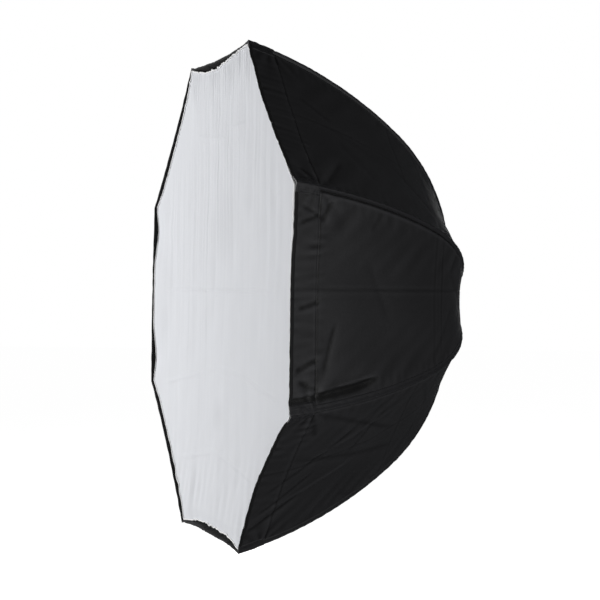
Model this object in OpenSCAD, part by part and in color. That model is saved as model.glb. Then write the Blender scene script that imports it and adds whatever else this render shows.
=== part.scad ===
// Octagonal umbrella softbox, open. The shaft lies along Y, the diffuser faces -Y and Z is up.
// The origin is the free end of the shaft, where a bracket clamps it.

/* [Canopy] */
// Radius from the shaft to a rib's crest at the front edge
front_r = 600; // [560:5:640]
// Distance from the shaft's free end forward to the front edge
front_gap = 40; // [35:1:60]
// Radius of the canopy's rear arc
rear_arc_r = 518; // [500:1:530]
// Angle at which the rear arc gives way to the flatter front arc, in degrees
arc_change = 52.3; // [50:0.1:54]
// Slope of the canopy at its front edge, in degrees from the front plane
edge_slope = 75.2; // [74:0.1:77]
// Thickness of the coated nylon and its lining
cloth_t = 1.0; // [0.8:0.1:1.4]
// Radius of the hole at the canopy's apex
apex_hole_r = 6.5; // [6:0.5:8]

/* [Frame] */
// Diameter of the shaft
shaft_d = 8; // [8:1:8]
// Length of the shaft that a bracket may clamp
clamp_len = 150; // [80:5:200]
// Radius of the ring of wire that a crown or runner holds
wire_ring_r = 14; // [13:0.5:16]
// Diameter of a rib's rod
rib_d = 4; // [3:0.5:4]
// Depth of a rib's centre line below the cloth's outer face
rib_inset = 5.5; // [5.5:0.5:7]
// Distance from a rib's root to the pivot of its stretcher
crank_len = 243; // [220:1:260]
// Diameter of a stretcher's rod
stretcher_d = 3.4; // [3:0.2:4]

/* [Diffuser] */
// Thickness of the white cloth
diffuser_t = 0.8; // [0.6:0.1:1]
// Depth of the white cloth behind the front edge
diffuser_set = 1.2; // [1:0.1:2]

/* [Zip] */
// Distance from the front edge back to the zip's slider
zip_start = 62; // [55:1:80]
// Length of the zip's slider
zip_len = 14; // [12:1:16]

/* [Hidden] */
$fn = 48;
SIDES = 8;
STEP = 360 / SIDES;
FIRST = STEP / 2;
GAP = 0.3;
RUN_FIT = 0.08;
SQUARE = 90;
// Canopy profile: two arcs that meet with one slope, in radius and Y
front_y = -front_gap;
front_arc_r = (front_r - rear_arc_r * sin(arc_change)) / (sin(edge_slope) - sin(arc_change));
depth = rear_arc_r * (1 - cos(arc_change)) + front_arc_r * (cos(arc_change) - cos(edge_slope));
rear_c = [0, front_y + depth - rear_arc_r];
front_c = rear_c + (rear_arc_r - front_arc_r) * [sin(arc_change), cos(arc_change)];
apex_y = front_y + depth;
mid_cos = cos(STEP / 2);
ARC_STEPS = 14;
// Rib: root, stretcher pivot and tip
rib_arc_r = rear_arc_r - rib_inset;
root_a = asin(wire_ring_r / rib_arc_r);
root_y = rear_c.y + rib_arc_r * cos(root_a);
eye_r = 2.6;
eye_w = 3.0;
wire_r = 0.8;
eye_hole_r = 1.0;
tip_back = 8;
tip_a = acos((front_y + tip_back - front_c.y) / (front_arc_r - rib_inset));
tip_r = 3.4;
tip_sweep = 0.9;
// Stretcher: it and the rib between its two ends are equal cranks
pivot_drop = 5;
pivot_arc_r = rib_arc_r - pivot_drop;
pivot_a = 2 * asin(crank_len / (2 * pivot_arc_r)) + root_a - 0.25;
pivot = rear_c + pivot_arc_r * [sin(pivot_a), cos(pivot_a)];
root = [wire_ring_r, root_y];
crank = norm(pivot - root);
crank_a = atan2(root_y - pivot.y, pivot.x - wire_ring_r);
runner_y = root_y - 2 * crank * sin(crank_a);
clip_r = 2.7;
clip_sweep = 1.8;
lug_t = 4.4;
rivet_r = 1.2;
collar_len = 12;
fork_gap = 3.0;
ear_t = 1.4;
ear_r = 3;
fork_len = 34;
// Crown and runner: notched discs that hold a ring of wire
hub_r = 9.5;
disc_r = 19;
slot_w = 4.2;
disc_back = 3.3;
disc_front = 6;
sleeve_r = 9;
sleeve_len = 58;
grip_r = 11;
// Latch on the runner
latch_w = 6;
latch_y = runner_y - 30;
latch_pin_r = 1.2;
latch_z = 12;

// Turns a shape drawn in the XY plane (X out from the shaft) to an angle around the shaft
module around(a) rotate([0, -a, 0]) children();

// Turns a shape drawn up Z so that it lies along the shaft, at distance y
module along_shaft(y) translate([0, y, 0]) rotate([-SQUARE, 0, 0]) children();

// Sweeps its 2-D child along an arc of the profile, from angle a to angle b off the shaft
module profile_sweep(centre, r, a, b)
    translate([centre.x, centre.y, 0]) rotate([0, 0, SQUARE - b])
        rotate_extrude(angle = b - a) translate([r, 0]) children();

// A point of the canopy's profile at a depth below its outer face
function on_profile(a, below) =
    a <= arc_change ? rear_c + (rear_arc_r - below) * [sin(a), cos(a)]
                    : front_c + (front_arc_r - below) * [sin(a), cos(a)];

// The profile as a list of points, squeezed to the section midway between two ribs
function mid_profile(below, from) = [
    for (a = concat(
        [for (k = [0 : ARC_STEPS]) from + (arc_change - from) * k / ARC_STEPS],
        [for (k = [1 : ARC_STEPS]) arc_change + (edge_slope - arc_change) * k / ARC_STEPS]
    )) let (p = on_profile(a, below)) [p.x * mid_cos, p.y]
];

// Ring of wire around the shaft
module wire_ring(y) color("silver")
    along_shaft(y) rotate_extrude() translate([wire_ring_r, 0]) circle(wire_r);

// Notched disc, with a groove for the wire and a slot for each eye
module notched_disc(y, back, front, bore_r) difference() {
    along_shaft(y - front) cylinder(h = back + front, r = disc_r);
    along_shaft(y - front - 1) cylinder(h = back + front + 2, r = bore_r);
    along_shaft(y) rotate_extrude() translate([wire_ring_r, 0]) circle(wire_r + 0.02);
    for (i = [0 : SIDES - 1]) around(FIRST + STEP * i)
        translate([hub_r, y - front - 1, -slot_w / 2]) cube([disc_r, back + front + 2, slot_w]);
}

// Eye at the root of a rib or a stretcher, around the ring of wire
module eye(y) translate([wire_ring_r, y, -eye_w / 2]) cylinder(h = eye_w, r = eye_r);

module eye_hole(y) translate([wire_ring_r, y, -eye_w]) cylinder(h = 2 * eye_w, r = eye_hole_r);

// Chromed steel tube that a bracket clamps at its free end, up to a rolled groove
module shaft() color("silver") difference() {
    along_shaft(0) cylinder(h = apex_y + 9, d = shaft_d);
    along_shaft(-1) cylinder(h = 21, d = shaft_d - 2);
    along_shaft(clamp_len + 0.75) rotate_extrude() translate([shaft_d / 2 + 0.5, 0]) circle(0.9);
}

// Plastic plug in the open end of the shaft
module shaft_plug() color("black") {
    along_shaft(0.5) cylinder(h = 12, d = shaft_d - 2.04);
    along_shaft(-1.5) cylinder(h = 1.5, d = shaft_d - 0.4);
    along_shaft(-0.1) cylinder(h = 0.7, d = shaft_d - 2.04);
}

// Notched crown fixed at the rear of the shaft, where the ribs hinge
module crown() color("dimgray") notched_disc(root_y, disc_back, disc_front, shaft_d / 2);

module crown_wire() wire_ring(root_y);

// Screw cap behind the canopy, on the end of the shaft
module apex_cap() color("black") difference() {
    along_shaft(apex_y + 2) rotate_extrude() polygon([
        [0, 0], [14, 0], [14, 4], for (k = [0 : 8]) [14 * cos(k * 11.25), 4 + 7 * sin(k * 11.25)]
    ]);
    along_shaft(apex_y) cylinder(h = 9.05, d = shaft_d + 0.04);
}

// Round patch of doubled cloth under the cap
module apex_patch() color("black") difference() {
    along_shaft(apex_y + 0.4) cylinder(h = 1.4, r = 24);
    along_shaft(apex_y) cylinder(h = 3, r = apex_hole_r);
}

// Sliding runner: notched disc, sleeve, grip and the lugs of its latch
module runner() color("dimgray") difference() {
    union() {
        notched_disc(runner_y, disc_front - 0.5, disc_back, shaft_d / 2 + RUN_FIT);
        along_shaft(runner_y - sleeve_len) cylinder(h = sleeve_len, r = sleeve_r);
        along_shaft(runner_y - sleeve_len) cylinder(h = 14, r = grip_r);
        for (s = [-1, 1]) translate([s * (latch_w / 2 + 1.9) - 1.5, latch_y - 4, 0])
            cube([3, 8, latch_z + 2.5]);
    }
    along_shaft(runner_y - sleeve_len - 1) cylinder(h = sleeve_len + 10, r = shaft_d / 2 + RUN_FIT);
    translate([-latch_w / 2 - 0.4, latch_y - 15, 0]) cube([latch_w + 0.8, 34, grip_r + 5]);
    translate([-latch_w, latch_y, latch_z]) rotate([0, SQUARE, 0])
        translate([0, 0, -5]) cylinder(h = 2 * latch_w + 10, r = latch_pin_r);
}

module runner_wire() wire_ring(runner_y);

module latch_pin() color("silver") translate([-latch_w / 2 - 3.3, latch_y, latch_z])
    rotate([0, SQUARE, 0]) cylinder(h = latch_w + 6.6, r = latch_pin_r - 0.02);

// Thumb latch that locks the runner to the shaft
module runner_latch() color("red") translate([-latch_w / 2, latch_y, latch_z]) difference() {
    rotate([SQUARE, 0, SQUARE]) linear_extrude(latch_w) polygon([
        [-14, 1.6], [-13, 3.6], [6, 2.6], [16, 0.6], [17, -1.5],
        [17, shaft_d / 2 + 0.8 - latch_z], [14.5, shaft_d / 2 + 0.8 - latch_z], [13, -2.5], [0, -2.6], [-9, 0.2]
    ]);
    rotate([0, SQUARE, 0]) translate([0, 0, -1]) cylinder(h = latch_w + 2, r = latch_pin_r + 0.05);
}

// Fibreglass rib: rod, root eye, clip with its rivet, and tip cap
module rib(i) color("gray") around(FIRST + STEP * (i - 1)) {
    difference() {
        union() {
            eye(root_y);
            profile_sweep(rear_c, rib_arc_r, root_a + 0.25, arc_change) circle(d = rib_d);
            profile_sweep(front_c, front_arc_r - rib_inset, arc_change, tip_a) circle(d = rib_d);
            tie_collar();
        }
        eye_hole(root_y);
    }
    difference() {
        union() {
            profile_sweep(rear_c, rib_arc_r, pivot_a - clip_sweep / 2, pivot_a + clip_sweep / 2)
                difference() { circle(clip_r); circle(d = rib_d + 0.02); }
            translate([rear_c.x, rear_c.y, 0]) rotate([0, 0, SQUARE - pivot_a])
                translate([pivot_arc_r, -2.6, -lug_t / 2]) cube([pivot_drop - 2.3, 5.2, lug_t]);
            translate([pivot.x, pivot.y, -lug_t / 2]) cylinder(h = lug_t, r = 2.6);
        }
        translate([pivot.x, pivot.y, -lug_t]) cylinder(h = 2 * lug_t, r = rivet_r + 0.02);
    }
    translate([pivot.x, pivot.y, -clip_r]) cylinder(h = 2 * clip_r, r = rivet_r);
    tip_cap();
}

// Collar on the rod where the cloth is tied to the rib
module tie_collar()
    translate([rear_c.x, rear_c.y, 0]) rotate([0, 0, -arc_change]) translate([-collar_len / 2, rib_arc_r, 0])
        rotate([0, SQUARE, 0]) cylinder(h = collar_len, r = rib_d / 2 + 0.4);

// Plastic cap on a rib's end
module tip_cap() {
    profile_sweep(front_c, front_arc_r - rib_inset, tip_a - tip_sweep, tip_a)
        difference() { circle(tip_r); circle(d = rib_d + 0.02); }
    translate([front_c.x, front_c.y, 0]) rotate([0, 0, SQUARE - tip_a])
        translate([front_arc_r - rib_inset, -0.02, 0]) rotate([SQUARE, 0, 0]) cylinder(h = 2.5, r1 = tip_r, r2 = 2.4);
}

// Stretcher: rod with a root eye and a riveted fork that straddles the rib
module stretcher(i) color("silver") around(FIRST + STEP * (i - 1)) difference() {
    union() {
        eye(runner_y);
        translate([wire_ring_r, runner_y, 0]) rotate([0, 0, crank_a]) {
            translate([1.8, 0, 0]) rotate([0, SQUARE, 0]) cylinder(h = crank - fork_len - 2.8, d = stretcher_d);
            translate([crank - fork_len - 6, -ear_r, -fork_gap - ear_t])
                cube([7, 2 * ear_r, 2 * (fork_gap + ear_t)]);
            for (s = [-1, 1]) translate([0, 0, s * (fork_gap + ear_t / 2)]) {
                translate([crank - fork_len, -ear_r, -ear_t / 2]) cube([fork_len, 2 * ear_r, ear_t]);
                translate([crank, 0, -ear_t / 2]) cylinder(h = ear_t, r = ear_r);
                translate([crank, 0, s * ear_t / 2 + (s - 1) * 0.4]) cylinder(h = 0.8, r = 2);
            }
        }
    }
    eye_hole(runner_y);
}

// Half of a gore: the cloth from rib i (side a) or rib i + 1 (side b) to the middle of the gore
module half_gore(i, side) color([0.1, 0.1, 0.11]) around(FIRST + STEP * (i - 0.5))
    intersection() {
        translate([0, 0, side == "a" ? -front_r / 2 : 0]) linear_extrude(front_r / 2)
            polygon(concat(
                mid_profile(0, asin(apex_hole_r / rear_arc_r)),
                let (inner = mid_profile(cloth_t, asin(apex_hole_r / rear_arc_r)))
                    [for (k = [len(inner) - 1 : -1 : 0]) inner[k]]
            ));
        half_wedge(side, 0);
    }

// Prism over half a sector, from the middle of a gore to a rib, trimmed all round by a gap
module half_wedge(side, trim)
    mirror([0, 0, side == "a" ? 1 : 0]) translate([0, apex_y + 1, 0]) rotate([SQUARE, 0, 0])
        linear_extrude(depth + 2) polygon([
            [1 + trim, GAP / 2],
            [front_r - trim, GAP / 2],
            [front_r - trim, (front_r - trim) * tan(STEP / 2) - GAP / 2 - trim / mid_cos],
            [1 + trim, tan(STEP / 2) * (1 + trim) * 0.5 + GAP / 4]
        ]);

// Half of a diffuser panel, a triangle from the middle to one corner
module half_diffuser(i, side) color("white") around(FIRST + STEP * (i - 0.5)) {
    reach = (front_r - 4) * mid_cos;
    mirror([0, 0, side == "a" ? 1 : 0]) translate([0, front_y + diffuser_set, 0]) rotate([-SQUARE, 0, 0])
        mirror([0, 1, 0]) linear_extrude(diffuser_t) polygon([
            [1, GAP / 2],
            [reach, GAP / 2],
            [reach, reach * tan(STEP / 2) - GAP / 2]
        ]);
}

// Slider of the access zip in the middle of the bottom gore
module zip_slider() color("dimgray") {
    a = edge_slope - zip_start / front_arc_r * 180 / PI;
    p = on_profile(a, 0);
    around(-SQUARE) translate([p.x * mid_cos, p.y, 0]) rotate([0, 0, -a]) {
        translate([-zip_len / 2, 0.7, -4.5]) cube([zip_len, 2.2, 9]);
        translate([-zip_len / 2 + 2, 2.9, -1.2]) cube([8, 1.6, 2.4]);
        difference() {
            translate([-zip_len / 2 - 24, 4.5, -3.5]) cube([32, 1.4, 7]);
            translate([-zip_len / 2 - 18, 3, 0]) rotate([-SQUARE, 0, 0]) cylinder(h = 5, r = 2);
        }
    }
}

shaft();
shaft_plug();
crown();
crown_wire();
apex_cap();
apex_patch();
runner();
runner_wire();
latch_pin();
runner_latch();
zip_slider();
for (i = [1 : SIDES]) {
    rib(i);
    stretcher(i);
    for (side = ["a", "b"]) {
        half_gore(i, side);
        half_diffuser(i, side);
    }
}
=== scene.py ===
import math
import bpy
import mathutils
import numpy as np
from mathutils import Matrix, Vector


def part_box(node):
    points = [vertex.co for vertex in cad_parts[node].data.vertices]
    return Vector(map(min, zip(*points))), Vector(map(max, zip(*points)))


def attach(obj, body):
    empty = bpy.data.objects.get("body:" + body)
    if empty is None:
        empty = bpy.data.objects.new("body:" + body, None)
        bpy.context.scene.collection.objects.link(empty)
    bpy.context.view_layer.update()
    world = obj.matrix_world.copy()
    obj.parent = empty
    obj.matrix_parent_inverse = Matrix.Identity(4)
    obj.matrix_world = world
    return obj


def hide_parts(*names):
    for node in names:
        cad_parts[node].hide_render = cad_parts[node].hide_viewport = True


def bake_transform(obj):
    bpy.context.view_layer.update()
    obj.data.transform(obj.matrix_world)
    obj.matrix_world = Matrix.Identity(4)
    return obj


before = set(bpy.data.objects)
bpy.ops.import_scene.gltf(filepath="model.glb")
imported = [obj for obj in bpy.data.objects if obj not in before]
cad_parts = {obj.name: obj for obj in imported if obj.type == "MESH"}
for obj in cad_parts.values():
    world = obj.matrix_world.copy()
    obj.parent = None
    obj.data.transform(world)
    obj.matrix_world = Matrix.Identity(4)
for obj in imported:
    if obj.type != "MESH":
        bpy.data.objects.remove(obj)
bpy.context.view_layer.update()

# ---------------------------------------------------------------------------------------------
# Shaft: an 8 mm steel tube, drawn, ground and chromed, with a moulded plug in its open end. The
# bracket's screw bears on it, so the clamping length carries fine rings and rubbed patches.


class Value:
    """One socket of a shader. Arithmetic on it adds the Math nodes that do the sum."""

    def __init__(self, finish, socket):
        self.finish = finish
        self.socket = socket

    def sum(self, operation, a, b):
        return self.finish.node("ShaderNodeMath", {"operation": operation}, {0: a, 1: b})

    def __add__(self, other):
        return self.sum("ADD", self, other)

    def __radd__(self, other):
        return self.sum("ADD", other, self)

    def __sub__(self, other):
        return self.sum("SUBTRACT", self, other)

    def __rsub__(self, other):
        return self.sum("SUBTRACT", other, self)

    def __mul__(self, other):
        return self.sum("MULTIPLY", self, other)

    def __rmul__(self, other):
        return self.sum("MULTIPLY", other, self)

    def __lt__(self, other):
        return self.sum("LESS_THAN", self, other)


class Finish:
    """A material, with the constants of its Principled shader set as it is made."""

    def __init__(self, name, **constants):
        self.material = bpy.data.materials.new(name)
        self.material.use_nodes = True
        self.tree = self.material.node_tree
        self.shader = self.tree.nodes["Principled BSDF"]
        for socket, value in constants.items():
            self.shader.inputs[socket.replace("_", " ")].default_value = value

    def node(self, kind, settings=None, sockets=None, out=0):
        made = self.tree.nodes.new(kind)
        for key, value in (settings or {}).items():
            if key == "stops":
                for stop, (place, shade) in zip(made.color_ramp.elements, value):
                    stop.position, stop.color = place, (shade, shade, shade, 1)
            else:
                setattr(made, key, value)
        for key, value in (sockets or {}).items():
            if isinstance(value, Value):
                self.tree.links.new(value.socket, made.inputs[key])
            else:
                made.inputs[key].default_value = value
        return Value(self, made.outputs[out])

    def place(self, scale=(1, 1, 1)):
        spot = self.node("ShaderNodeTexCoord", out="Object")
        return self.node("ShaderNodeMapping", None, {"Vector": spot, "Scale": scale})

    def noise(self, where, scale, detail=2.0, rough=0.5):
        return self.node("ShaderNodeTexNoise", None,
                         {"Vector": where, "Scale": scale, "Detail": detail, "Roughness": rough})

    def band(self, value, low, high):
        """0 below low, 1 above high and straight between."""
        return self.node("ShaderNodeMapRange", {"clamp": True},
                         {"Value": value, "From Min": low, "From Max": high})

    def distance(self, where, point):
        return self.node("ShaderNodeVectorMath", {"operation": "DISTANCE"}, {0: where, 1: point}, "Value")

    def mix(self, factor, a, b):
        """Colour a where the factor is 0 and colour b where it is 1."""
        return self.node("ShaderNodeMix", {"data_type": "RGBA"}, {0: factor, 6: a, 7: b}, 2)

    def bump(self, height, depth, under=None):
        sockets = {"Height": height, "Distance": depth, "Strength": 1.0}
        if under:
            sockets["Normal"] = under
        return self.node("ShaderNodeBump", None, sockets)

    def feed(self, socket, value):
        self.tree.links.new(value.socket, self.shader.inputs[socket])


def dress(node, finish):
    """Gives a CAD node its finish."""
    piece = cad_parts[node]
    piece.data.materials.clear()
    piece.data.materials.append(finish.material)
    return piece


def steel(name, along, tint=(0.60, 0.61, 0.63, 1)):
    """Plated steel with drawing marks along one axis."""
    made = Finish(name, Metallic=1.0, Specular_IOR_Level=0.5)
    marks = made.noise(made.place(along), 9.0, 4.0, 0.7)
    smudge = made.noise(made.place(), 24.0, 3.0)
    dull = made.band(smudge, 0.42, 0.68)
    made.feed("Base Color", made.mix(dull * 0.6 + marks * 0.2, tint, (0.42, 0.42, 0.43, 1)))
    made.feed("Roughness", 0.10 + marks * 0.14 + dull * 0.16)
    made.feed("Normal", made.bump(marks, 0.00006))
    return made


def moulded(name, colour, wear_and_painted_shade):
    """Moulded plastic: a fine spark grain, rubbed paler and smoother in patches."""
    made = Finish(name, Specular_IOR_Level=0.45)
    where = made.place()
    grain = made.noise(where, 900.0, 2.0)
    rubbed = made.band(made.noise(where, 60.0, 4.0, 0.65), 0.52, 0.72)
    made.feed("Base Color", made.mix(rubbed, colour, wear_and_painted_shade))
    made.feed("Roughness", 0.52 - rubbed * 0.16 + grain * 0.08)
    made.feed("Normal", made.bump(grain, 0.00008))
    return made


shaft_steel = steel("shaft_steel", (300, 6, 300))
plug_plastic = moulded("plug_plastic", (0.012, 0.012, 0.013, 1), (0.03, 0.03, 0.032, 1))
dress("shaft", shaft_steel)
dress("shaft_plug", plug_plastic)

# ---------------------------------------------------------------------------------------------
# Crown and runner: glass-filled nylon mouldings, notched for the eight ribs and the eight
# stretchers, each with a ring of bright wire closed through their eyes. The runner carries a
# thumb latch on a steel pin.

frame_plastic = moulded("frame_plastic", (0.022, 0.022, 0.024, 1), (0.05, 0.05, 0.052, 1))
latch_plastic = moulded("latch_plastic", (0.28, 0.018, 0.014, 1), (0.40, 0.05, 0.04, 1))
ring_wire = steel("ring_wire", (40, 40, 40), (0.55, 0.56, 0.58, 1))
for part in ("crown", "runner"):
    dress(part, frame_plastic)
for part in ("crown_wire", "runner_wire", "latch_pin"):
    dress(part, ring_wire)
dress("runner_latch", latch_plastic)

# ---------------------------------------------------------------------------------------------
# Ribs: pultruded fibreglass rods, dark grey with faint streaks along them, each with an eye at
# its root, a zinc clip for its stretcher, a collar where the cloth is tied, and a plastic tip.

RIBS = 8
rib_angle = [math.radians(22.5 + 45 * i) for i in range(RIBS)]


def at_rib(i, radius, y):
    return (radius * math.cos(rib_angle[i]), y, radius * math.sin(rib_angle[i]))


front_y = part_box("gore_8a")[0].y
apex_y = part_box("gore_8a")[1].y
pivot_r = 0.246
pivot_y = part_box("stretcher_1")[1].y - 0.003
crest_r = 0.600
CLIP_REACH = 0.0105
TIP_REACH = 0.0225


def rib_finish(i):
    """Fibreglass, turning to zinc at the stretcher's clip and to plastic at the tip."""
    made = Finish(f"rib_{i + 1}_fibreglass", Specular_IOR_Level=0.5)
    spot = made.node("ShaderNodeTexCoord", out="Object")

    clip = made.distance(spot, at_rib(i, pivot_r + 0.002, pivot_y + 0.002)) < CLIP_REACH
    tip = made.distance(spot, at_rib(i, crest_r, front_y)) < TIP_REACH
    streaks = made.noise(made.place((60, 8, 60)), 12.0, 3.0, 0.6)
    rod = made.mix(streaks, (0.020, 0.020, 0.022, 1), (0.045, 0.045, 0.048, 1))
    clipped = made.mix(clip, rod, (0.5, 0.5, 0.52, 1))
    made.feed("Base Color", made.mix(tip, clipped, (0.012, 0.012, 0.013, 1)))
    made.feed("Metallic", clip)
    made.feed("Roughness", 0.30 + streaks * 0.15 + tip * 0.2)
    made.feed("Normal", made.bump(streaks, 0.00005))
    return made


for i in range(RIBS):
    dress(f"rib_{i + 1}", rib_finish(i))

# ---------------------------------------------------------------------------------------------
# Stretchers: plated steel rods, each welded to a pressed fork that straddles its rib and is
# riveted through the clip.

stretcher_steel = steel("stretcher_steel", (30, 30, 30), (0.56, 0.57, 0.59, 1))
for i in range(RIBS):
    dress(f"stretcher_{i + 1}", stretcher_steel)

# ---------------------------------------------------------------------------------------------
# Canopy: eight gores of black coated nylon with a bright silver lining, cut to a curve and sewn
# along the ribs. Each gore is pulled in between its ribs, creased where it was folded in its
# bag, and drawn into small folds by its seams.

HALF_STEP = math.radians(22.5)
rear_arc_r = 0.518
arc_change = math.radians(52.3)
edge_slope = math.radians(75.2)
front_rise = crest_r - rear_arc_r * math.sin(arc_change)
front_arc_r = front_rise / (math.sin(edge_slope) - math.sin(arc_change))
front_arc_len = front_arc_r * (edge_slope - arc_change)
APEX_HOLE = 0.007
cloth_len = front_arc_len + rear_arc_r * arc_change - APEX_HOLE
HEM = 0.066


def rib_line(v):
    """Slope, radius and y of the crest over a rib, at v back along it from the front edge."""
    front = v < front_arc_len
    slope = np.where(front, edge_slope - v / front_arc_r,
                     arc_change - (v - front_arc_len) / rear_arc_r)
    rear_cy = apex_y - rear_arc_r
    shift = rear_arc_r - front_arc_r
    radius = np.where(front, front_arc_r, rear_arc_r)
    centre_r = np.where(front, shift * math.sin(arc_change), 0.0)
    centre_y = rear_cy + np.where(front, shift * math.cos(arc_change), 0.0)
    return slope, centre_r + radius * np.sin(slope), centre_y + radius * np.cos(slope)


def smooth(x, low, high):
    """0 below low, 1 above high, with a soft start and end between."""
    t = np.clip((x - low) / (high - low), 0, 1)
    return t * t * (3 - 2 * t)


def ripple(x, y, seed, wave, count=9, turn=(0.0, math.tau)):
    """Even, soft noise from a few sine waves, whose directions lie within the turn given."""
    dice = np.random.default_rng(seed)
    total = np.zeros(np.broadcast(x, y).shape)
    for _ in range(count):
        angle = dice.uniform(*turn)
        k = math.tau / (wave * dice.uniform(0.7, 1.5))
        along = x * math.cos(angle) + y * math.sin(angle)
        total = total + np.sin(k * along + dice.uniform(0, math.tau))
    return total / math.sqrt(count)


def crease(x, y, start, end, width, depth):
    """A fold along a line: a dip, or a ridge where depth is negative, that fades at its ends."""
    (x0, y0), (x1, y1) = start, end
    length = math.hypot(x1 - x0, y1 - y0)
    ux, uy = (x1 - x0) / length, (y1 - y0) / length
    along = ((x - x0) * ux + (y - y0) * uy) / length
    off = (x - x0) * -uy + (y - y0) * ux
    ends = smooth(along, -0.1, 0.2) * (1 - smooth(along, 0.8, 1.1))
    return -depth * np.exp(-(np.abs(off) / width) ** 1.5) * ends


def rib_fold(v, z, half):
    """The fold that hangs above the lower rib of the side gore, and the shade painted into it: dark in its
    valley and in a line beside the seam further back.
    """
    from_rib = z + half
    lift = 0.024 + 0.045 * v
    above = from_rib - lift
    ends = 1 - smooth(v, 0.190, 0.245)
    depth = (0.007 + 0.028 * np.clip(v, 0, 0.20)) * ends
    dive = 1 - smooth(above, 0.0, 0.010)
    rise = 1 - np.clip(-above / lift, 0, 1) ** 1.3
    wide = 0.0045 + 0.0045 * smooth(v, 0.02, 0.12) - 0.003 * smooth(v, 0.16, 0.24)
    # Painted shade: the fold's valley is painted dark, and a dark line is painted beside the seam further
    # back.
    dark = np.exp(-(np.abs(above + 0.001) / np.where(above > 0, wide * 1.3, wide)) ** 2) * ends
    further_back = np.exp(-((from_rib - 0.0068) / 0.0026) ** 2) * smooth(v, 0.22, 0.34)
    return -depth * np.where(above > 0, dive, rise) - 0.003 * further_back, dark + 0.8 * further_back


# Each crease runs from one (back, across) to another, with a width and a depth.
SIDE_GORE, UPPER_GORE, LOWER_GORE = 8, 1, 7
gore_creases = {
    SIDE_GORE: [
        ((0.085, 0.195), (0.125, 0.205), 0.005, -0.003), ((0.100, 0.200), (0.072, 0.155), 0.006, 0.004),
        ((0.02, 0.185), (0.07, 0.165), 0.004, 0.0025), ((0.015, 0.150), (0.065, 0.168), 0.005, 0.002),
        ((0.02, -0.02), (0.075, -0.005), 0.005, 0.0024), ((0.015, -0.145), (0.07, -0.120), 0.006, 0.003),
        ((0.02, -0.165), (0.075, -0.185), 0.006, 0.0026), ((0.085, -0.150), (0.115, -0.050), 0.007, 0.0022)],
    UPPER_GORE: [
        ((0.085, -0.205), (0.16, -0.10), 0.010, 0.0025), ((0.03, -0.17), (0.06, -0.20), 0.005, 0.0025),
        ((0.10, 0.04), (0.30, -0.02), 0.022, 0.0012)],
    LOWER_GORE: [
        ((0.09, 0.20), (0.36, 0.02), 0.012, 0.0022), ((0.07, 0.05), (0.40, -0.06), 0.015, 0.0024),
        ((0.03, -0.05), (0.22, 0.10), 0.010, 0.0018), ((0.02, -0.12), (0.14, -0.02), 0.007, 0.0016),
        ((0.01, -0.17), (0.12, -0.08), 0.007, 0.0016), ((0.08, 0.17), (0.10, 0.12), 0.008, 0.0014),
        ((0.12, 0.04), (0.34, 0.11), 0.009, -0.0018), ((0.06, -0.10), (0.26, -0.02), 0.008, -0.0016)],
}


def relief(gore, v, z, half):
    """The folds of a gore's cloth, in metres out from its drawn shape, at v back and z across."""
    side = np.clip(np.abs(z) / half, 0, 1)
    to_rib = half - np.abs(z)
    # Broad slack, and fine drag lines slanting toward the ribs.
    slack = ripple(v, z, 40 + gore, 0.16, 7) * 0.0011
    drawn = ripple(v, z, 60 + gore, 0.050, 5, (-0.95, -0.55)) * 0.0007 * smooth(side, 0.15, 0.7)
    # Puckers gathered by the hem's stitching and by the tape.
    hem = 1 - smooth(v, HEM - 0.004, HEM + 0.002)
    uneven = 0.25 + 0.5 * np.abs(ripple(v, z, 90 + gore, 0.13, 5))
    pucker = ripple(v * 0.35, z, 80 + gore, 0.024, 8, (0.9, 2.2)) * uneven
    by_stitches, by_tape = np.exp(-((v - HEM) / 0.022) ** 2), np.exp(-((v - 0.004) / 0.016) ** 2)
    gather = by_stitches * 0.55 + by_tape * 0.5 + hem * 0.25
    # Spokes where the corner is pulled tight over the rib's tip, and pulls along the rib's seam.
    corner = np.exp(-(to_rib / 0.07) ** 2 - ((v - HEM) / 0.08) ** 2)
    spokes = np.sin(np.arctan2(v - 0.055, to_rib + 0.004) * 11 + gore) * corner * 0.0012
    seam_pull = ripple(v, z * 0.3, 100 + gore, 0.030, 8, (-0.4, 0.4)) * 0.0005 * smooth(side, 0.72, 0.94)
    # Creases across and along the gore, from its packing.
    across_at = (0.445 - 0.06 * (gore % 3 == 1), 0.480, 0.605)
    packed = sum(crease(v, z, (at, -half.max()), (at + 0.004, half.max()), 0.0026, 0.0009)
                 for at in across_at)
    along_at = 0.020 + 0.008 * (v - 0.2)
    halfway = -0.0007 * np.exp(-(np.abs(z - along_at) / 0.0022) ** 1.3)
    total = slack + drawn + pucker * gather * 0.0009 + spokes + seam_pull + packed + halfway
    dice = np.random.default_rng(200 + gore)
    for _ in range(7):
        v0, z0 = dice.uniform(0.10, 0.55), dice.uniform(-0.16, 0.16)
        turn, reach = dice.uniform(0.35, 1.1) * dice.choice([-1, 1]), dice.uniform(0.07, 0.17)
        end = (v0 + reach * math.cos(turn), z0 + reach * math.sin(turn))
        total = total + crease(v, z, (v0, z0), end, dice.uniform(0.008, 0.018), dice.uniform(0.0008, 0.0020))
    for start, end, width, depth in gore_creases.get(gore, []):
        total = total + crease(v, z, start, end, width, depth)
    if gore == SIDE_GORE:
        total = total + rib_fold(v, z, half)[0]
    # The stitched line of the hem, and the furrow beside the felled seam, go right to the ribs.
    sewn = 0.0005 * hem - 0.0011 * np.exp(-((v - HEM) / 0.0016) ** 2)
    if gore == LOWER_GORE:
        sewn = sewn + 0.006 * np.exp(-((half - z - 0.012) / 0.014) ** 2 - (v / 0.03) ** 2)
    furrow = -0.0044 * np.exp(-(np.abs(half - z - 0.0058) / 0.0022) ** 1.6) * smooth(v, 0.055, 0.08)
    return total * (1 - side ** 6) + sewn + furrow


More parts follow.
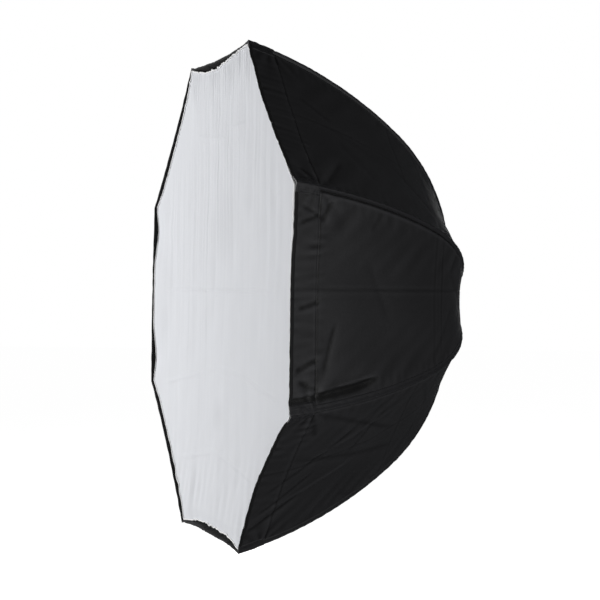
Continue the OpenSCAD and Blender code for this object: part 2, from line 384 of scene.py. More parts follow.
def cloth_depth(gore, v, z, half):
    """All that a gore's cloth stands out by: its folds, less the curve it is pulled in by."""
    side = np.clip(np.abs(z) / half, 0, 1)
    dip = 0.0048 + 0.0027 * (1 - smooth(v, 0.25, 0.42))
    dip = dip * (1 - side ** 2) * np.clip((cloth_len - v) / 0.25, 0, 1)
    return relief(gore, v, z, half) - dip


SHADE_REACH = 0.009
SHADE_HEIGHT = 0.0024
FOLD_SHADE = 1.6


def fold_shade_and_ridge_light(gore, v, share):
    """Painted shade and light: 0 deep in a fold, painted black as shade, to 1 along a ridge, painted paler
    as if lit.
    """
    v, share = np.broadcast_arrays(np.asarray(v, float), np.asarray(share, float))
    half = rib_line(v)[1] * math.sin(HALF_STEP)
    z = half * share
    here = relief(gore, v, z, half)
    around = sum(relief(gore, v + SHADE_REACH * math.cos(turn), z + SHADE_REACH * math.sin(turn), half)
                 for turn in np.arange(8) * math.tau / 8) / 8
    shaded = rib_fold(v, z, half)[1] if gore == SIDE_GORE else 0.0
    return np.clip(0.5 + (here - around) / SHADE_HEIGHT - FOLD_SHADE * shaded, 0, 1)


# How far the cloth's edge is drawn back at a rib's tip and midway along a gore, where that isn't
# the usual amount, and how far the middle of a gore's hem stands out, or in where negative.
USUAL_PULL = 0.002
PULL_FADES, SWELL_FADES = 0.09, 0.10
LEAN_REACH = 0.006
tip_pull = {1: 0.005, 4: -0.002, 5: -0.002, 6: 0.0, 8: 0.001}
hem_pull = {1: 0.0, 4: -0.004, 7: -0.004, 8: 0.004}
hem_out = {1: -0.003, 2: -0.003, 7: -0.006}


def on_cloth(gore, v, share, lift=0.0):
    """Points on a gore's outer face. share is -1 on its first rib, 0 midway and 1 on its second."""
    v, share = np.broadcast_arrays(np.asarray(v, float), np.asarray(share, float))
    first, last = (tip_pull.get(rib, USUAL_PULL) for rib in (gore, gore % RIBS + 1))
    mid = hem_pull.get(gore, USUAL_PULL)
    pull = mid + (last - first) / 2 * share + ((first + last) / 2 - mid) * share ** 2
    v = v + pull * np.exp(-v / PULL_FADES)
    slope, radius, y = rib_line(v)
    w = radius * math.cos(HALF_STEP)
    half = w * math.tan(HALF_STEP)
    z = half * share
    out_w, out_y = np.sin(slope), math.cos(HALF_STEP) * np.cos(slope)
    size = np.hypot(out_w, out_y)
    swell = hem_out.get(gore, 0.0) * (1 - share ** 2) * np.exp(-v / SWELL_FADES)
    d = cloth_depth(gore, v, z, half) + lift + swell
    w = w + d * out_w / size
    y = y + d * out_y / size
    z = z + d * math.tan(HALF_STEP) * np.sign(share) * np.exp(-(half - np.abs(z)) / LEAN_REACH)
    middle = math.radians(45 * gore)
    return np.stack([w * math.cos(middle) - z * math.sin(middle), y,
                     w * math.sin(middle) + z * math.cos(middle)], -1)


def piece_from(name, points, faces, finishes, face_finish=None, cut=None, flat_faces=None):
    """A smooth mesh piece. cut holds each point's place on the flat cloth, for its weave and its painted
    shade.
    """
    mesh = bpy.data.meshes.new(name)
    mesh.from_pydata(points.reshape(-1, 3).tolist(), [], faces.tolist())
    for finish in finishes:
        mesh.materials.append(finish.material)
    mesh.shade_smooth()
    if flat_faces is not None:
        mesh.polygons.foreach_set("use_smooth", ~flat_faces)
    if face_finish is not None:
        mesh.polygons.foreach_set("material_index", face_finish)
    if cut is not None:
        mesh.attributes.new("cut", "FLOAT_VECTOR", "POINT").data.foreach_set("vector", cut.ravel())
    mesh.validate()
    made = bpy.data.objects.new(name, mesh)
    bpy.context.scene.collection.objects.link(made)
    return made


def grid_faces(rows, columns, first=0, flip=False):
    """The quads of a grid of points whose first point has this number."""
    n = (np.arange(rows - 1)[:, None] * columns + np.arange(columns - 1)[None, :]).ravel() + first
    faces = np.stack([n, n + 1, n + columns + 1, n + columns], -1)
    return faces[:, ::-1] if flip else faces


def shell(name, outer, inner, finishes, cut, flip=False):
    """Two grids of points as the faces of one thin closed sheet, with its rim."""
    rows, columns = outer.shape[:2]
    count = rows * columns
    rim = np.concatenate([np.arange(columns), columns * np.arange(1, rows) + columns - 1,
                          count - 2 - np.arange(columns - 1), columns * np.arange(rows - 2, 0, -1)])
    after = np.roll(rim, -1)
    edge = np.stack([after, rim, rim + count, after + count], -1)
    if flip:
        edge = edge[:, ::-1]
    face, back = grid_faces(rows, columns, 0, flip), grid_faces(rows, columns, count, not flip)
    faces = np.concatenate([face, back, edge])
    kinds = np.zeros(len(faces), np.int32)
    if len(finishes) > 1:
        kinds[len(face):len(face) + len(back)] = 1
    both = np.concatenate([outer.reshape(-1, 3), inner.reshape(-1, 3)])
    on_rim = np.arange(len(faces)) >= len(faces) - len(edge)
    cut = np.concatenate([cut.reshape(-1, 3)] * 2)
    return piece_from(name, both, faces, finishes, kinds, cut, on_rim)


def halves():
    """Each half gore: its gore, side, sign across the gore, and the rib it is sewn to."""
    for gore in range(1, RIBS + 1):
        yield gore, "a", -1, gore
        yield gore, "b", 1, gore % RIBS + 1


sewn_to = {}
BEND_FROM, BEND_TO = 0.006, 0.050


def follow_cloth(piece, gore, side, rib):
    """Lists the piece under its half gore, and bakes its placement into its points."""
    sewn_to.setdefault((gore, side), []).append(piece)
    angle = rib_angle[rib - 1]
    inward = 1 if side == "a" else -1
    across = np.array([-math.sin(angle), 0.0, math.cos(angle)]) * inward
    tuple(across * BEND_FROM)
    tuple(across * BEND_TO)
    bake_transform(piece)


def cut_at(back, across, wear_and_painted_shade=0.0):
    """Each point's place on the flat cloth, and its painted shade and light."""
    return np.stack(np.broadcast_arrays(back, across, wear_and_painted_shade), -1)


def on_cut(made, axis):
    """A point's place along or across the flat cloth, or its painted shade and light."""
    cut = made.node("ShaderNodeAttribute", {"attribute_name": "cut"}, None, "Vector")
    return made.node("ShaderNodeSeparateXYZ", None, {"Vector": cut}, axis)


def weave(made, pitch, depth, under=None):
    """Bump of a plain weave, laid out on the flat cloth."""
    u, v = on_cut(made, "X"), on_cut(made, "Y")
    wave = math.tau / pitch
    warp = made.node("ShaderNodeMath", {"operation": "SINE"}, {0: u * wave})
    weft = made.node("ShaderNodeMath", {"operation": "SINE"}, {0: v * wave})
    return made.bump(warp * weft, depth, under)


def paler(colour, times):
    """The same colour, that many times as bright."""
    return tuple(part * times for part in colour[:3]) + (1,)


def coated_nylon(name, colour, sheen, wear_and_painted_shade=True):
    """Woven nylon with a dull coating, cloudy and dusty; where asked, painted shade darkens its folds and
    painted light greys its ridges.
    """
    made = Finish(name, Specular_IOR_Level=0.42, Sheen_Weight=sheen, Sheen_Roughness=0.45,
                  Sheen_Tint=(0.75, 0.78, 0.85, 1))
    where = made.place()
    cloud = made.noise(where, 7.0, 3.0)
    fine = made.noise(where, 260.0, 3.0, 0.6)
    dust = made.band(made.noise(where, 1400.0, 1.0), 0.70, 0.80)
    tone = made.mix(cloud * 0.6 + fine * 0.4, colour, paler(colour, 1.5))
    tone = made.mix(dust * 0.25, tone, (0.09, 0.09, 0.095, 1))
    if wear_and_painted_shade:
        # Painted shade and light: the folds are painted near black as shade, the ridges painted paler as if
        # lit.
        painted_shade_and_light = on_cut(made, "Z")
        tone = made.mix(made.band(painted_shade_and_light, 0.0, 0.55), (0.0020, 0.0020, 0.0022, 1), tone)
        tone = made.mix(made.band(painted_shade_and_light, 0.5, 1.0) * 0.6, tone, paler(colour, 2.6))
    made.feed("Base Color", tone)
    made.feed("Roughness", 0.50 + cloud * 0.10 + fine * 0.08)
    wrinkle = made.bump(made.noise(where, 90.0, 4.0, 0.6), 0.00035)
    made.feed("Normal", weave(made, 0.0011, 0.00006, wrinkle))
    return made


def silver_lining():
    """Bright aluminised backing, crushed all over by folding."""
    made = Finish("silver_lining", Metallic=0.9, Specular_IOR_Level=0.5)
    where = made.place()
    crush = made.noise(where, 120.0, 5.0, 0.65)
    made.feed("Base Color", made.mix(crush, (0.62, 0.63, 0.65, 1), (0.78, 0.79, 0.80, 1)))
    made.feed("Roughness", 0.32 + crush * 0.2)
    made.feed("Normal", weave(made, 0.0024, 0.0001, made.bump(crush, 0.0008)))
    return made


black_nylon = coated_nylon("black_nylon", (0.0165, 0.0165, 0.0178, 1), 0.03)
lining = silver_lining()
NEAR_HEM = 0.006
v_rows = np.concatenate([np.linspace(0, HEM - NEAR_HEM, 20)[:-1],
                         np.linspace(HEM - NEAR_HEM, HEM + NEAR_HEM, 13)[:-1],
                         np.linspace(HEM + NEAR_HEM, cloth_len, 150)])
half_widths = rib_line(v_rows)[1] * math.sin(HALF_STEP)
columns = np.concatenate([[0, 0.002], np.linspace(0.015, 1, 50)])
by_rib = np.array([0.0135, 0.0110, 0.0092, 0.0078, 0.0068, 0.0058, 0.0048, 0.0036, 0.0022, 0.0008, 0.0])
LINING_GAP = 0.0009
for gore, side, sign, rib in halves():
    half = half_widths[:, None]
    inset = by_rib / half * np.minimum(1, half / 0.05)
    share = sign * np.concatenate([columns[None, :] * (1 - 1.25 * inset[:, :1]), 1 - inset], 1)
    v = np.broadcast_to(v_rows[:, None], share.shape)
    outer = on_cloth(gore, v, share)
    # The gore's painted shade and light rides in the third part of cut.
    cut = cut_at(v, half * share, fold_shade_and_ridge_light(gore, v, share))
    cloth = shell(f"canopy_cloth_{gore}{side}", outer, on_cloth(gore, v, share, -LINING_GAP),
                  [black_nylon, lining], cut, flip=sign < 0)
    follow_cloth(cloth, gore, side, rib)
    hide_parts(f"gore_{gore}{side}")

# ---------------------------------------------------------------------------------------------
# Seams: each rib's seam is felled to one side and topstitched, a double thickness of nylon
# 12 mm wide with a hard ridge over the rod.

thread = Finish("black_thread", Specular_IOR_Level=0.25)
thread.feed("Base Color", thread.mix(thread.noise(thread.place(), 700.0), (0.006, 0.006, 0.0065, 1),
                                     (0.014, 0.014, 0.015, 1)))
thread.feed("Roughness", 0.55 + thread.noise(thread.place(), 500.0) * 0.15)
seam_nylon = coated_nylon("seam_nylon", (0.0150, 0.0150, 0.0165, 1), 0.05, wear_and_painted_shade=False)


def share_at(v, inset):
    """The share across a gore that lies an inset in from its rib."""
    half = rib_line(np.asarray(v, float))[1] * math.sin(HALF_STEP)
    return 1 - np.minimum(inset, half * 0.9) / half


def stitches(gore, v, share, lift, pitch=0.0036, width=0.0009):
    """Points and faces of a row of stitches, each a short thread that dips at both ends."""
    line = on_cloth(gore, v, share, lift)
    run = np.concatenate([[0], np.cumsum(np.linalg.norm(np.diff(line, axis=0), axis=1))])
    count = max(2, int(run[-1] / pitch))
    rings = []
    for k in range(count):
        for part, rise, fat in ((0.08, -0.6, 0.5), (0.30, 0.35, 1.0), (0.62, 0.35, 1.0), (0.84, -0.6, 0.5)):
            rings.append(((k + part) * run[-1] / count, rise * width * 0.6, fat * width / 2))
    place, rise, radius = np.array(rings).T
    rise, radius = rise[:, None], radius[:, None]

    def along(values, at):
        return np.stack([np.interp(at, run, values[:, axis]) for axis in range(3)], -1)

    centre = along(line, place)
    way = along(line, place + 0.001) - along(line, place - 0.001)
    way /= np.linalg.norm(way, axis=1, keepdims=True) + 1e-12
    up = along(on_cloth(gore, v, share, lift + 0.001) - line, place)
    up /= np.linalg.norm(up, axis=1, keepdims=True)
    cross = np.cross(way, up)
    corners = [centre + up * (rise + np.sin(turn) * radius * 0.8) + cross * np.cos(turn) * radius
               for turn in np.radians([45, 135, 225, 315])]
    points = np.stack(corners, 1).reshape(-1, 3)
    faces = []
    for first in range(0, 16 * count, 16):
        for ring in range(first, first + 12, 4):
            for k in range(4):
                a, b = ring + k, ring + (k + 1) % 4
                faces.append([a, b, b + 4, a + 4])
        faces.append([first + 3, first + 2, first + 1, first])
        faces.append([first + 12, first + 13, first + 14, first + 15])
    return points, np.array(faces)


def joined(name, rows, finish):
    """Several rows of stitches as one piece."""
    first = np.cumsum([0] + [len(points) for points, _ in rows])
    return piece_from(name, np.concatenate([points for points, _ in rows]),
                      np.concatenate([faces + start for (_, faces), start in zip(rows, first)]), [finish])


# The seam's section: distance from the rib toward the next gore, and height over the cloth.
across = np.array([-0.0046, -0.0042, -0.0035, -0.0027, -0.0019, -0.0010, 0.0, 0.0010, 0.0020, 0.0030,
                   0.0040, 0.0060, 0.0085, 0.0105, 0.0112, 0.0116, 0.0118])
height = np.array([-0.0020, 0.0006, 0.0018, 0.0025, 0.0029, 0.0031, 0.0031, 0.0029, 0.0024, 0.0016,
                   0.0011, 0.0013, 0.0015, 0.0014, 0.0010, 0.0003, -0.0006])
SEAM_UNDER = 0.0004
SEAM_ROWS = (0.0046, 0.0100)
SEAM_ROWS_FROM = 0.062


def over_rib(gore, v, lift):
    """The seam's points over a gore's first rib, half on that gore and half on the one before."""
    share = share_at(v, np.abs(across))
    before = (gore - 2) % RIBS + 1
    return np.where((across < 0)[None, :, None], on_cloth(before, v, share, lift),
                    on_cloth(gore, v, -share, lift))


for gore, side, sign, rib in halves():
    if side == "b":
        continue
    v = np.linspace(0.0, cloth_len - 0.01, 190)[:, None]
    wobble = ripple(v, across * 0.5, 300 + gore, 0.022, 5) * 0.00028
    top = over_rib(gore, v, height + wobble * (height > 0))
    under = over_rib(gore, v, np.minimum(height, 0) - SEAM_UNDER)
    seam = shell(f"rib_seam_{rib}", top, under, [seam_nylon], cut_at(v, across), flip=True)
    follow_cloth(seam, gore, side, rib)
    run = np.linspace(SEAM_ROWS_FROM, cloth_len - 0.03, 200)
    rows = [stitches(gore, run, -share_at(run, inset), 0.0010) for inset in SEAM_ROWS]
    follow_cloth(joined(f"rib_seam_stitches_{rib}", rows, thread), gore, side, rib)

# ---------------------------------------------------------------------------------------------
# Hem: the front 66 mm of the cloth is doubled, with one row of topstitching along the band, and
# its edge is bound in a folded tape that carries the loop strip for the diffuser inside.

tape = Finish("binding_tape", Specular_IOR_Level=0.2, Sheen_Weight=0.04, Sheen_Roughness=0.5)
tape.feed("Base Color", tape.mix(tape.noise(tape.place(), 160.0, 3.0), (0.0060, 0.0060, 0.0066, 1),
                                 (0.0125, 0.0125, 0.013, 1)))
tape.feed("Roughness", 0.60 + tape.noise(tape.place(), 300.0) * 0.15)
tape.feed("Normal", weave(tape, 0.0016, 0.00012))
TAPE_OUT = 0.0065
TAPE_IN = 0.024
# The tape's section round the edge: distance back from it, and height over the cloth.
wrap = [(TAPE_OUT, -0.0002), (TAPE_OUT - 0.0004, 0.0010), (0.0050, 0.0013), (0.0010, 0.0013),
        (-0.0010, 0.0006), (-0.0016, -0.0006), (-0.0010, -0.0018), (0.0010, -0.0025),
        (0.0080, -0.0024), (0.0160, -0.0024), (TAPE_IN - 0.0006, -0.0023), (TAPE_IN, -0.0012)]
back, lift = (column[:, None] for column in np.array(wrap).T)
for gore, side, sign, rib in halves():
    run = sign * np.linspace(0, 0.998, 90)
    rows = [stitches(gore, 0 * run + HEM, run, 0.0001),
            stitches(gore, 0 * run + TAPE_OUT - 0.0018, run, 0.0012)]
    follow_cloth(joined(f"hem_stitches_{gore}{side}", rows, thread), gore, side, rib)
    share = sign * np.linspace(0, 1, 60)[None, :]
    sway = ripple(share * 0.23, 0 * share, 340 + gore, 0.035, 6) * 0.0004
    outer = on_cloth(gore, np.maximum(back, 0), share, lift + sway * 0.5)
    outer[..., 1] += np.minimum(back, 0) + sway
    inner = on_cloth(gore, np.maximum(back, 0.0005), share, np.clip(lift, -0.0012, 0.0002) + sway * 0.5)
    bound = shell(f"edge_tape_{gore}{side}", outer, inner, [tape], cut_at(back, share * half_widths[0]),
                  flip=sign > 0)
    follow_cloth(bound, gore, side, rib)

# ---------------------------------------------------------------------------------------------
# Corner pockets: a doubled patch wraps each corner and takes the tip of its rib. On each side
# three rows of stitching run back from the edge, and a fourth closes the pocket's end.

PATCH_LEN = 0.062
PATCH_W = 0.019
POCKET_ROWS = (0.0075, 0.0115, 0.0165)
for gore, side, sign, rib in halves():
    v = np.linspace(-0.0016, PATCH_LEN, 28)[:, None]
    inset = np.linspace(0.0, PATCH_W, 22)[None, :]
    share = sign * share_at(v, inset)
    dome = 0.0020 * np.exp(-(inset / 0.0050) ** 2) * (1 - smooth(v, PATCH_LEN - 0.008, PATCH_LEN))
    rolled = 1 - smooth(v, PATCH_LEN - 0.003, PATCH_LEN)
    rolled = 0.0011 * rolled * (1 - smooth(inset, PATCH_W - 0.002, PATCH_W))
    bumps = ripple(v, inset, 380 + gore + 8 * (sign > 0), 0.018, 6) * 0.0004 * (rolled > 0.0005)
    patch = shell(f"corner_patch_{gore}{side}", on_cloth(gore, v, share, rolled + dome + bumps + 0.0004),
                  on_cloth(gore, v, share, -0.0004), [seam_nylon], cut_at(v, inset), flip=sign < 0)
    follow_cloth(patch, gore, side, rib)
    run = np.linspace(0.004, PATCH_LEN - 0.004, 24)
    end = np.linspace(0.006, PATCH_W - 0.002, 10)
    rows = [stitches(gore, run, sign * share_at(run, at), 0.0019) for at in POCKET_ROWS]
    rows.append(stitches(gore, 0 * end + PATCH_LEN - 0.004, sign * share_at(PATCH_LEN, end), 0.0020))
    follow_cloth(joined(f"corner_stitches_{gore}{side}", rows, thread), gore, side, rib)

# ---------------------------------------------------------------------------------------------
# Access zip: a coil zip sewn down the middle of the bottom gore, closed, with its slider at the
# hem. The bracket and the flash go in through it.

ZIP_GORE = 6
ZIP_FROM, ZIP_TO = 0.012, 0.262
ZIP_TAPE_W = 0.013
COIL_AT, ROW_AT = 0.0013, 0.0088
dress("zip_slider", moulded("zip_enamel", (0.014, 0.014, 0.015, 1), (0.10, 0.10, 0.10, 1)))
for side, sign, rib in (("a", -1, ZIP_GORE), ("b", 1, ZIP_GORE + 1)):
    v = np.linspace(ZIP_FROM, ZIP_TO, 90)[:, None]
    off = np.linspace(0.0003, ZIP_TAPE_W, 14)[None, :]
    share = sign * off / (rib_line(v)[1] * math.sin(HALF_STEP))
    lift = 0.0009 * (1 - smooth(off, ZIP_TAPE_W - 0.0015, ZIP_TAPE_W))
    under = on_cloth(ZIP_GORE, v, share, -0.0004)
    band = shell(f"zip_tape_{side}", on_cloth(ZIP_GORE, v, share, lift), under, [tape], cut_at(v, off),
                 flip=sign < 0)
    follow_cloth(band, ZIP_GORE, side, rib)
    run = np.linspace(ZIP_FROM + 0.002, ZIP_TO - 0.002, 120)
    half_run = rib_line(run)[1] * math.sin(HALF_STEP)
    coil = stitches(ZIP_GORE, run, sign * COIL_AT / half_run, 0.0014, pitch=0.0018, width=0.0024)
    follow_cloth(joined(f"zip_coil_{side}", [coil], thread), ZIP_GORE, side, rib)
    row = stitches(ZIP_GORE, run, sign * ROW_AT / half_run, 0.0011)
    follow_cloth(joined(f"zip_stitches_{side}", [row], thread), ZIP_GORE, side, rib)

half_area = float(np.sum((half_widths[1:] + half_widths[:-1]) / 2 * np.diff(v_rows)))
for gore, side, sign, rib in halves():
    cloth, *trims = sewn_to[gore, side]

# ---------------------------------------------------------------------------------------------
# Apex: a round patch of webbing-backed nylon covers the point where the gores meet, and a screw
# cap holds it to the end of the shaft.

dress("apex_cap", plug_plastic)
patch_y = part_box("apex_patch")[1].y
AROUND = 96
radii = np.array([0.0065, 0.0075, 0.011, 0.015, 0.019, 0.0225, 0.0238])[:, None]
domed = np.array([0.0, 0.0004, 0.0005, 0.0005, 0.0005, 0.0004, -0.0008])[:, None]
turns = np.linspace(0, math.tau, AROUND + 1)[None, :-1]
quilted = 0.00015 * np.sin(turns * 24) * (radii > 0.01)


def disc(y):
    """One face of the patch, its rings of points at these heights."""
    return np.stack(np.broadcast_arrays(radii * np.cos(turns), y, radii * np.sin(turns)), -1).reshape(-1, 3)


upper, lower = disc(patch_y - 0.0002 + domed + quilted), disc(patch_y - 0.0013)
faces = []
for ring in range(len(radii)):
    for k in range(AROUND):
        a, b = ring * AROUND + k, ring * AROUND + (k + 1) % AROUND
        low_a, low_b = a + len(upper), b + len(upper)
        if ring == 0:
            faces.append([a, low_a, low_b, b])
        if ring == len(radii) - 1:
            faces.append([a, b, low_b, low_a])
        else:
            faces.append([a, b, b + AROUND, a + AROUND])
            faces.append([low_a, low_a + AROUND, low_b + AROUND, low_b])
rosette = piece_from("apex_rosette", np.concatenate([upper, lower]), np.array(faces), [seam_nylon], None,
                     np.concatenate([upper[:, [0, 2, 1]]] * 2))
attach(rosette, "frame")
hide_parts("apex_patch")

# ---------------------------------------------------------------------------------------------
# Diffuser: one octagon of thin white polyester, held to the hem by its hook strip and edged with
# bright piping. It hangs in fine upright folds, keeps the creases of its packing, and gathers
# along the top where the strip is loose.

# Where the strip hangs slack along a gore's hem: how far, and the peak and spread of it in shares.
USUAL_SAG = (0.0008, 0.0, 0.5)
hem_sag = {2: (0.0115, 0.30, 0.60), 3: (0.001, 0.0, 0.6), 4: (0.0015, 0.0, 0.9), 5: (0.003, 0.3, 0.6),
           6: (0.0100, 0.10, 0.90)}


def recess(x, z):
    """How far behind the hem's edge the cloth is held, deepest on the far side and along the bottom."""
    corner = (0.5 - 0.5 * np.cos(8 * np.arctan2(z, x))) ** 12 * smooth(np.hypot(x, z), 0.35, 0.50)
    far, low = smooth(-x, 0.505, 0.545), smooth(-z, 0.505, 0.545)
    deep = 0.0045 * smooth(-x, -0.30, 0.25) + 0.0016 * far + 0.0050 * low
    deep = deep - 0.0100 * smooth(-x, 0.40, 0.53) * (1 - smooth(np.abs(z), 0.06, 0.19))
    return 0.0030 + deep * (1 - 0.75 * corner)


def hem_line(gore, share):
    """Where the cloth's edge lies under the hem: its distance from the shaft, midway across the gore."""
    share = np.asarray(share, float)
    edge = on_cloth(gore, 0 * share + 0.001, share)
    edge = on_cloth(gore, recess(edge[..., 0], edge[..., 2]) + 0.002, share)
    middle = math.radians(45 * gore)
    w = edge[..., 0] * math.cos(middle) + edge[..., 2] * math.sin(middle)
    sag, peak, spread = hem_sag.get(gore, USUAL_SAG)
    swell = np.exp(-((share - peak) / spread) ** 2) * (1 - share ** 8)
    frill = ripple(share * 0.23, 0 * share, 420 + gore, 0.028, 7) * (0.0004 + 0.09 * sag)
    return w - 0.0036 - sag * swell + frill * (1 - share ** 8)


# The packing creases that show, each from one (x, z) to another.
creases = [((-0.49, 0.014), (0.54, 0.012)), ((-0.46, -0.228), (0.035, -0.165)),
           ((0.035, -0.165), (0.234, -0.175)), ((0.234, -0.175), (0.52, -0.22)),
           ((-0.31, -0.407), (0.02, -0.358)), ((0.02, -0.358), (0.32, -0.392)),
           ((-0.17, 0.381), (0.075, 0.358)), ((0.10, 0.378), (0.212, 0.38)), ((0.43, 0.214), (0.55, 0.232))]


def diffuser_y(x, z):
    """How far the white cloth lies behind its flat plane."""
    reach = np.clip(1 - np.hypot(x, z) / 0.55, 0, 1)
    upper = 0.18 + 0.82 * smooth(z, -0.25, 0.35)
    upper = upper * (0.6 + 0.4 * np.sin(7 * x + 3) * np.cos(5 * z))
    folds = ripple(x, z * 0.10, 500, 0.055, 8, (-0.25, 0.25)) * 0.0014 * upper
    folds = folds + ripple(x, z * 0.14, 501, 0.021, 7, (-0.2, 0.2)) * 0.0007 * upper
    folds = folds + ripple(x, z, 505, 0.085, 9, (-1.3, 1.3)) * 0.0006
    slack = ripple(x, z, 502, 0.30, 6) * 0.0016
    packed = sum(crease(x, z, start, end, 0.0038, 0.0018) for start, end in creases)
    gathered = ripple(x, z * 0.3, 503, 0.017, 7, (-0.2, 0.2)) * 0.0011 * smooth(z, 0.42, 0.54)
    lower = ripple(x, z * 0.4, 504, 0.040, 7, (-0.9, -0.3)) * 0.0012 * smooth(-z, 0.30, 0.5)
    held = np.minimum(reach * 6, 1)
    return recess(x, z) + (folds + slack + packed) * held + gathered + lower + 0.004 * reach


white_cloth = Finish("white_polyester", Specular_IOR_Level=0.25, Sheen_Weight=0.15, Sheen_Roughness=0.6)
threads = white_cloth.noise(white_cloth.place((1, 1, 0.08)), 320.0, 3.0, 0.6)
streaks = white_cloth.noise(white_cloth.place((1, 1, 0.06)), 42.0, 3.0, 0.55)


def dark_oval(x, z, reach):
    """A soft oval, 1 at its middle, where shadow is painted on the cloth."""
    gap = white_cloth.distance(white_cloth.place((0.7, 1, 1)), (x * 0.7, front_y, z))
    return 1 - white_cloth.band(gap, reach * 0.2, reach)


# Painted shadow: two soft ovals and faint blotches darken the white cloth's colour.
shadow = dark_oval(0.07, 0.165, 0.10) * 0.26 + dark_oval(0.035, -0.272, 0.045) * 0.26
shadow = shadow + white_cloth.noise(white_cloth.place(), 9.0, 2.0) * 0.12
tone = white_cloth.mix(streaks * 0.6 + threads * 0.3, (0.80, 0.815, 0.85, 1), (0.71, 0.725, 0.76, 1))
white_cloth.feed("Base Color", white_cloth.mix(shadow, tone, (0.60, 0.61, 0.64, 1)))
white_cloth.feed("Roughness", 0.78 + threads * 0.10)
white_cloth.feed("Normal", weave(white_cloth, 0.0009, 0.00005, white_cloth.bump(threads, 0.00018)))
DIFFUSER_T = 0.0005
inward = np.concatenate([np.linspace(0.0003, 0.9, 112), np.linspace(0.91, 1, 12)])[:, None]
outward = np.concatenate([[0, 0.002], np.linspace(0.015, 0.985, 56), [0.998, 1]])


def on_diffuser(gore, w, z_across, forward=0.0):
    """Points on the white cloth, at a distance w from the shaft along a gore's middle."""
    middle = math.radians(45 * gore)
    x = w * math.cos(middle) - z_across * math.sin(middle)
    z = w * math.sin(middle) + z_across * math.cos(middle)
    return np.stack([x, front_y + diffuser_y(x, z) - forward, z], -1)


for gore, side, sign, rib in halves():
    share = sign * outward[None, :]
    w = inward * hem_line(gore, share)
    face = on_diffuser(gore, w, w * share * math.tan(HALF_STEP))
    sheet = shell(f"diffuser_cloth_{gore}{side}", face, face + np.array([0, DIFFUSER_T, 0]), [white_cloth],
                  cut_at(face[..., 0], face[..., 2]), flip=sign < 0)
    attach(sheet, f"diffuser_{gore}{side}")
    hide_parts(f"diffuser_{gore}{side}")

piping = Finish("white_piping", Specular_IOR_Level=0.5, Sheen_Weight=0.1)
piping.feed("Base Color", piping.mix(piping.noise(piping.place(), 300.0), (0.88, 0.88, 0.89, 1),
                                     (0.95, 0.95, 0.95, 1)))
piping.feed("Roughness", 0.45 + piping.noise(piping.place(), 200.0) * 0.15)
PIPE_R = 0.0019
PIPE_SIDES = 10
for gore, side, sign, rib in halves():
    middle = math.radians(45 * gore)
    share = sign * np.linspace(0, 1, 90)
    w = hem_line(gore, share) + 0.0002
    core = on_diffuser(gore, w, w * share * math.tan(HALF_STEP), forward=0.0006)
    points = np.stack([core + PIPE_R * np.array([math.cos(t) * math.cos(middle), math.sin(t),
                                                 math.cos(t) * math.sin(middle)])
                       for t in np.arange(PIPE_SIDES) * math.tau / PIPE_SIDES], 1)
    n = np.arange(len(share) - 1)[:, None] * PIPE_SIDES
    k = np.arange(PIPE_SIDES)[None, :]
    a, b = n + k, n + (k + 1) % PIPE_SIDES
    faces = np.stack([a, b, b + PIPE_SIDES, a + PIPE_SIDES], -1).reshape(-1, 4)
    if sign < 0:
        faces = faces[:, ::-1]
    cord = piece_from(f"diffuser_piping_{gore}{side}", points, faces, [piping])
    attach(cord, f"diffuser_{gore}{side}")
    reach = float(hem_line(gore, np.zeros(1))[0])

# ---------------------------------------------------------------------------------------------
# Studio: a pale floor well below the softbox, soft white all round, and the camera level with
# the shaft, looking at the side and a little of the front.

bpy.ops.mesh.primitive_plane_add(size=60, location=(0, 0, -1.3))
floor = bpy.context.object
floor.name = "floor"
paper = Finish("floor_paper", Roughness=0.9, Specular_IOR_Level=0.1, Emission_Strength=0.97)
paper.shader.inputs["Emission Color"].default_value = (1, 1, 1, 1)
paper.feed("Base Color", paper.mix(paper.noise(paper.place(), 3.0), (0.90, 0.90, 0.90, 1),
                                   (0.93, 0.93, 0.93, 1)))
floor.data.materials.append(paper.material)
floor.visible_diffuse = floor.visible_glossy = False

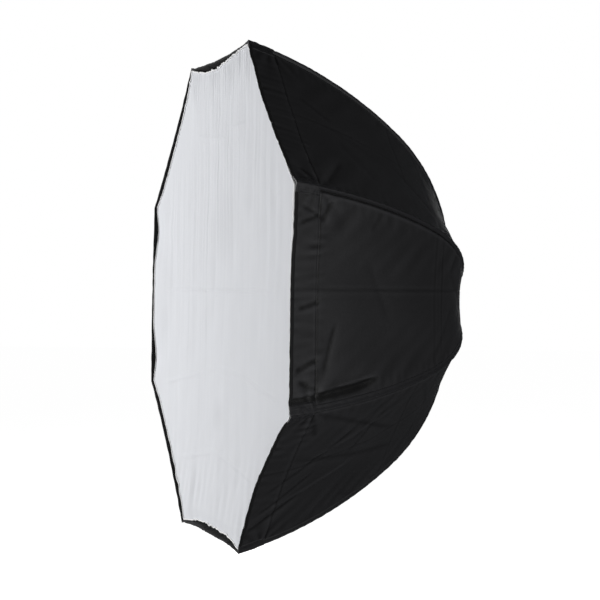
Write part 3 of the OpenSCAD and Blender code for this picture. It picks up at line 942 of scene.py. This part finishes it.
world = bpy.data.worlds.new("studio_white")
bpy.context.scene.world = world
world.use_nodes = True
sky = world.node_tree
back_light = sky.nodes["Background"]
back_light.inputs["Color"].default_value = (1, 1, 1, 1)
back_light.inputs["Strength"].default_value = 0.025
seen = sky.nodes.new("ShaderNodeBackground")
seen.inputs["Color"].default_value = (1, 1, 1, 1)
path = sky.nodes.new("ShaderNodeLightPath")
choose = sky.nodes.new("ShaderNodeMixShader")
sky.links.new(path.outputs["Is Camera Ray"], choose.inputs[0])
sky.links.new(back_light.outputs[0], choose.inputs[1])
sky.links.new(seen.outputs[0], choose.inputs[2])
sky.links.new(choose.outputs[0], sky.nodes["World Output"].inputs["Surface"])

aim = bpy.data.objects.new("lamp_aim", None)
aim.location = (0, 0.2, 0)
bpy.context.scene.collection.objects.link(aim)
lamps = [("front", (-3.8, -4.9, 0.1), 3.0, 445), ("side", (3.6, 0.0, -0.8), 1.6, 74),
         ("rear", (-3.8, 2.1, 0.3), 2.2, 48)]
for name, spot, size, power in lamps:
    lamp = bpy.data.lights.new(name, "AREA")
    lamp.shape, lamp.size, lamp.energy = "DISK", size, power
    holder = bpy.data.objects.new(name, lamp)
    holder.location = spot
    track = holder.constraints.new("TRACK_TO")
    track.target, track.track_axis, track.up_axis = aim, "TRACK_NEGATIVE_Z", "UP_Y"
    bpy.context.scene.collection.objects.link(holder)

azimuth, elevation, roll = math.radians(70.46), math.radians(0.29), math.radians(1.15)
back = np.array([math.sin(azimuth) * math.cos(elevation), -math.cos(azimuth) * math.cos(elevation),
                 math.sin(elevation)])
right = np.array([math.cos(azimuth), math.sin(azimuth), 0.0])
up = np.cross(back, right)
right, up = math.cos(roll) * right + math.sin(roll) * up, -math.sin(roll) * right + math.cos(roll) * up
camera = bpy.data.objects.new("camera", bpy.data.cameras.new("camera"))
CAMERA_DISTANCE = 3.592
turn = np.eye(4)
turn[:3, :3] = np.stack([right, up, back], 1)
turn[:3, 3] = np.array([0, front_y + 0.2142, -0.0052]) + CAMERA_DISTANCE * back
camera.matrix_world = mathutils.Matrix(turn.tolist())
camera.data.lens = 91.37
camera.data.clip_end = 200
bpy.context.scene.collection.objects.link(camera)
bpy.context.scene.camera = camera
bpy.context.scene.view_settings.view_transform = "Standard"
